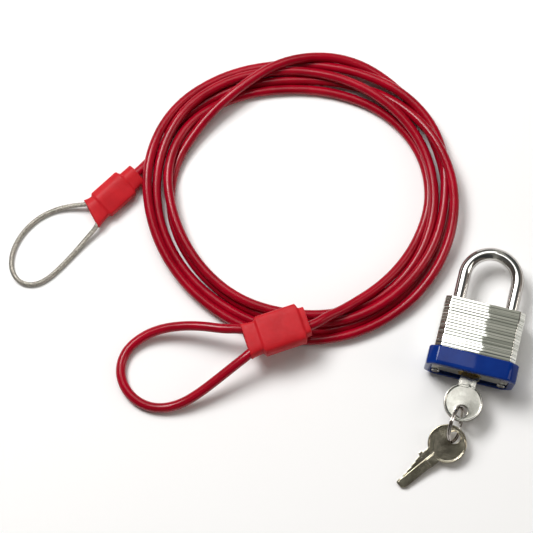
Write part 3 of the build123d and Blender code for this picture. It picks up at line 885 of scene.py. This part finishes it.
def body_plates():
    """Each plate is punched on its own: no two are quite the same size or lie quite level."""
    draw = random.Random(7)
    for index in range(PLATE_COUNT):
        low = STACK_BOTTOM + index * PLATE_PITCH
        high = low + PLATE_PITCH
        inset = draw.uniform(0.0, 0.10) + (0.08 if index % 4 == 2 else 0.0)
        edge = draw.uniform(0.20, 0.32)
        corner = BODY_CHAMFER + draw.uniform(-0.15, 0.15)
        loops = [octagon(BODY_WIDTH - 2 * inset, BODY_DEPTH - 2 * inset, corner)]
        if index == 0:
            loops.append(circle(0, 0, KEYWAY_HOLE))
        elif high <= CYLINDER_END_Y:
            loops.append(circle(0, 0, CYLINDER_HOLE))
        if low >= LEFT_LEG_FROM_Y:
            loops.append(circle(-LEG_X, 0, LEG_HOLE))
        if low >= RIGHT_LEG_FROM_Y:
            loops.append(circle(LEG_X, 0, LEG_HOLE))
        name = f"plate_{index + 1:02d}"
        mesh = punched(name, loops, low, high, edge)
        tilt = math.radians(draw.uniform(-0.06, 0.06))
        to_pivot = Matrix.Translation((0, 0, LOCK_Z * MM))
        mesh.transform(to_pivot @ Matrix.Rotation(tilt, 4, "Y") @ to_pivot.inverted())
        piece(name, mesh, ZINC, "lock_body", "zinc_plate", f"body_plate_{index + 1:02d}")


body_plates()


# ------------------------------------------------------------------ the bumper

def bumper_mesh():
    """The moulded band: its section, from the wall's outer face to its inner face, goes round."""
    outer = octagon(44.5, 24.0, 4.2, 1.3, 6)
    inner = octagon(BODY_WIDTH + 0.04, BODY_DEPTH + 0.04, BODY_CHAMFER, 0.35, 6)
    lip = octagon(38.0, 18.0, 1.6, 0.6, 6)
    low, high = -4.75, 4.75
    wall = 2.0
    r = 0.9
    under_plates = STACK_BOTTOM - 0.01

    def between(p, q, share, y):
        return (p[0] + (q[0] - p[0]) * share, y, LOCK_Z + p[1] + (q[1] - p[1]) * share)

    profile = []
    for k in range(5):
        a = math.pi / 2 * k / 4
        profile.append((r * (1 - math.cos(a)) / wall, high - r + r * math.sin(a)))
    profile = list(reversed(profile))
    for k in range(5):
        a = math.pi / 2 * k / 4
        profile.append((r * (1 - math.cos(a)) / wall, low + r - r * math.sin(a)))
    points = []
    for share, y in profile:
        for p, q in zip(outer, inner):
            points.append(between(p, q, share, y))
    tucked_lip = [(x * 0.996, z * 0.992) for x, z in lip]
    inside = (
        (low, lip), (low + 0.25, tucked_lip), (under_plates, lip), (under_plates, inner), (high - 0.3, inner),
    )
    for y, loop in inside:
        points += [(x, y, LOCK_Z + z) for x, z in loop]
    points += [between(p, q, 0.90, high) for p, q in zip(outer, inner)]
    count = len(outer)
    rings = len(points) // count
    return mesh_from("bumper_band", np.array(points) * MM, loft_faces(rings, count, closed=True))


piece("bumper_band", bumper_mesh(), BLUE, "lock_body", "blue_bumper", "bumper")


# ------------------------------------------------------------------ the keys and their ring

LOCK_KEY_Y = -17.95
SPARE_HEAD = (-2.8, -38.1, 5.17)
SPARE_TURN = 142.2
SPARE_TIP_HEIGHT = 1.05
HOLE_OFFSET = 4.5
SHOULDER_Y = 14.0
BLADE_HALF = 3.8
TIP_Y = 31.0
# Each cut's distance from the shoulder, and its depth.
CUTS = ((4.1, 1.0), (7.3, 1.7), (10.5, 2.3), (13.7, 2.9))


def key_head():
    """The round head: a raised rim, a sunk face, and a raised ring round the hole."""
    rim = [
        (9.5, 0.70), (9.42, 0.90), (9.25, 1.0), (8.95, 1.0),
        (8.8, 0.94), (8.5, 0.64), (8.38, 0.60), (8.2, 0.60),
    ]
    hole_edge = [
        (3.62, 0.60), (3.5, 0.61), (3.38, 0.68), (3.24, 0.88), (3.1, 0.94), (2.95, 0.88), (2.9, 0.70),
    ]
    face = [(0, *ring) for ring in rim] + [(HOLE_OFFSET, *ring) for ring in hole_edge]
    rings = face + [(shift, radius, -z) for shift, radius, z in reversed(face)]
    count = 96
    points = []
    for shift, radius, z in rings:
        for i in range(count):
            a = 2 * math.pi * i / count
            points.append((radius * math.cos(a), radius * math.sin(a) - shift, z))
    return mesh_from("key_head", points, loft_faces(len(rings), count, closed=True))


def key_blade():
    """The bitted blade and neck: a thin core, with full-thickness lands on both sides of a groove."""
    edge = [
        (4.2, 7.0), (4.2, 11.6), (4.7, 12.0), (5.2, 12.4),
        (5.2, 13.7), (4.6, SHOULDER_Y), (BLADE_HALF, SHOULDER_Y + 0.3),
    ]
    for along, depth in CUTS:
        y = SHOULDER_Y + along
        bottom = BLADE_HALF - depth
        edge += [(bottom + 0.75, y - 1.7), (bottom + 0.65, y - 1.1), (bottom, y - 0.5), (bottom, y + 0.5)]
    edge += [(1.5, 29.0), (1.4, 30.2), (0.9, TIP_Y)]
    tip = [
        (-BLADE_HALF + 1.6, TIP_Y), (-BLADE_HALF, TIP_Y - 1.8),
        (-BLADE_HALF, SHOULDER_Y), (-4.2, 13.0), (-4.2, 7.0),
    ]
    left = [
        (-4.2, 7.6), (0.8, 7.6), (0.8, TIP_Y - 0.8), (-2.0, TIP_Y - 0.3),
        (-3.7, TIP_Y - 1.9), (-3.7, SHOULDER_Y), (-4.2, 13.0),
    ]
    right = [(2.2, 7.6), (4.15, 7.6), (4.15, 12.1), (5.1, 12.1), (5.1, 13.9), (2.2, 13.9)]
    pad = [(-3.3, 8.6), (0.2, 8.6), (0.2, 12.9), (-3.3, 12.9)]
    return [
        flat_solid("core", [edge + tip], -0.95, 0.55, 0.10),
        flat_solid("left_land", [left], 0.2, 0.98, 0.12),
        flat_solid("right_land", [right], 0.2, 0.98, 0.12),
        flat_solid("pad", [pad], 0.9, 1.28, 0.15),
    ]


def make_key(name, node, body, place, material):
    mesh = joined(name, [key_head()] + key_blade(), place)
    piece(name, mesh, material, body, "nickel_key", node)


def make_keys():
    make_key("lock_key", "key_in_lock", "key", Matrix.Translation((0, LOCK_KEY_Y, LOCK_Z)), NICKEL)
    tilt = math.asin((SPARE_HEAD[2] - SPARE_TIP_HEIGHT) / TIP_Y)
    place = (
        Matrix.Translation(SPARE_HEAD)
        @ Matrix.Rotation(math.radians(SPARE_TURN), 4, "Z")
        @ Matrix.Rotation(-tilt, 4, "X")
    )
    make_key("loose_key", "spare_key", "spare", place, WORN_NICKEL)


RING_CENTRE = (-1.1, -29.3, 12.0)
RING_NORMAL = (0.939, -0.138, 0.315)
RING_RADIUS = 8.6
RING_WIRE = 0.47
RING_TURNS = 1.93
RING_PITCH = 0.98
RING_GAP_AT = 1.9
RING_STEPS = 259


def make_ring():
    """Nearly two turns of wire, side by side."""
    centre = Vector(RING_CENTRE)
    normal = Vector(RING_NORMAL).normalized()
    across = normal.cross(Vector((0, 0, 1))).normalized()
    over = normal.cross(across)
    line = []
    for i in range(RING_STEPS + 1):
        share = i / RING_STEPS
        angle = 2 * math.pi * RING_TURNS * share + RING_GAP_AT
        along = (share - 0.5) * RING_TURNS * RING_PITCH
        out = math.cos(angle) * across + math.sin(angle) * over
        line.append(centre + RING_RADIUS * out + normal * along)
    line, a, b = frames_along([tuple(p) for p in line])
    points = []
    sides = 14
    for c, u, v in zip(line, a, b):
        for k in range(sides):
            angle = 2 * math.pi * k / sides
            points.append(c + RING_WIRE * (math.cos(angle) * u + math.sin(angle) * v))
    faces = loft_faces(len(line), sides)
    faces += [cap(sides, 0, flip=True), cap(sides, (len(line) - 1) * sides)]
    mesh = mesh_from("key_ring", np.array(points) * MM, faces)
    piece("key_ring", mesh, RING_METAL, "ring", "nickel_ring", "split_ring")


make_keys()
make_ring()


# ------------------------------------------------------------------ floor, light, surroundings

def area_light(name, place, aim, size, radiance, colour):
    """A soft rectangular light that looks this bright, aimed at a point, or straight down."""
    data = bpy.data.lights.new(name, "AREA")
    data.shape = "RECTANGLE"
    data.size, data.size_y = size
    data.energy = radiance * math.pi * size[0] * size[1]
    data.color = colour
    lamp = bpy.data.objects.new(name, data)
    lamp.location = place
    lamp.rotation_mode = "QUATERNION"
    if aim is not None:
        lamp.rotation_quaternion = (Vector(aim) - Vector(place)).to_track_quat("-Z", "Y")
    lamp.visible_camera = False
    bpy.context.scene.collection.objects.link(lamp)


def make_floor():
    size = 4.0
    corners = [(-size, -size, 0), (size, -size, 0), (size, size, 0), (-size, size, 0)]
    mesh = mesh_from("floor", corners, [(0, 1, 2, 3)])
    s = Shader("floor", Roughness=0.9, Specular_IOR_Level=0.1)
    s.set("Base Color", s.ramp(s.noise(1.2, 2), [(0.3, (0.92, 0.92, 0.92)), (0.7, (0.94, 0.94, 0.94))]))
    mesh.materials.append(s.material)
    floor = bpy.data.objects.new("floor", mesh)
    bpy.context.scene.collection.objects.link(floor)


def make_world():
    """A dim room: one paler strip beside the panel, darker towards the camera's side."""
    world = bpy.data.worlds.new("studio")
    world.use_nodes = True
    nodes, links = world.node_tree.nodes, world.node_tree.links
    background = next(n for n in nodes if n.type == "BACKGROUND")
    place = nodes.new("ShaderNodeTexCoord")
    split = nodes.new("ShaderNodeSeparateXYZ")
    links.new(place.outputs["Generated"], split.inputs["Vector"])

    def along(axis, stops):
        span = nodes.new("ShaderNodeMapRange")
        span.inputs["From Min"].default_value = -1.0
        ramp = nodes.new("ShaderNodeValToRGB")
        fill_ramp(ramp, [((at + 1) / 2, colour) for at, colour in stops])
        links.new(split.outputs[axis], span.inputs["Value"])
        links.new(span.outputs["Result"], ramp.inputs["Fac"])
        return ramp.outputs["Color"]

    across = along("X", [
        (-1.0, (0.20, 0.16, 0.145)),
        (-0.6, (0.16, 0.14, 0.13)),
        (-0.1, (0.18, 0.18, 0.17)),
        (0.05, (0.40, 0.40, 0.36)),
        (0.14, (0.40, 0.40, 0.36)),
        (0.24, (0.10, 0.105, 0.105)),
        (0.55, (0.07, 0.075, 0.075)),
        (0.75, (0.30, 0.26, 0.23)),
        (1.0, (0.22, 0.175, 0.155)),
    ])
    inward = along("Y", [
        (-1.0, (0.75, 0.75, 0.75)),
        (-0.15, (0.45, 0.45, 0.45)),
        (0.18, (1.0, 1.0, 1.0)),
        (1.0, (1.0, 1.0, 1.0)),
    ])
    both = nodes.new("ShaderNodeMix")
    both.data_type = "RGBA"
    both.blend_type = "MULTIPLY"
    both.inputs[0].default_value = 1.0
    colours = [i for i in both.inputs if i.type == "RGBA"]
    links.new(across, colours[0])
    links.new(inward, colours[1])
    links.new(next(o for o in both.outputs if o.type == "RGBA"), background.inputs["Color"])
    bpy.context.scene.world = world


make_floor()
make_world()

# The panel's right edge is what the body plates mirror as the line between bright and dark.
PANEL_RIGHT_EDGE = 0.071
PANEL_SIZE = (1.25, 1.05)
panel_place = (PANEL_RIGHT_EDGE - PANEL_SIZE[0] / 2, 0.62, 1.2)
area_light("panel", panel_place, None, PANEL_SIZE, 2.3, (1.0, 1.0, 1.0))
area_light("key", (-0.73, 0.40, 1.08), (-0.11, 0.03, 0), (0.5, 0.5), 16.0, (1.0, 0.99, 0.98))
area_light("side", (1.25, 0.2, 0.85), (0.0, 0.0, 0.1), (0.45, 1.2), 2.2, (1.0, 0.95, 0.88))
bpy.context.scene.view_settings.view_transform = "Standard"
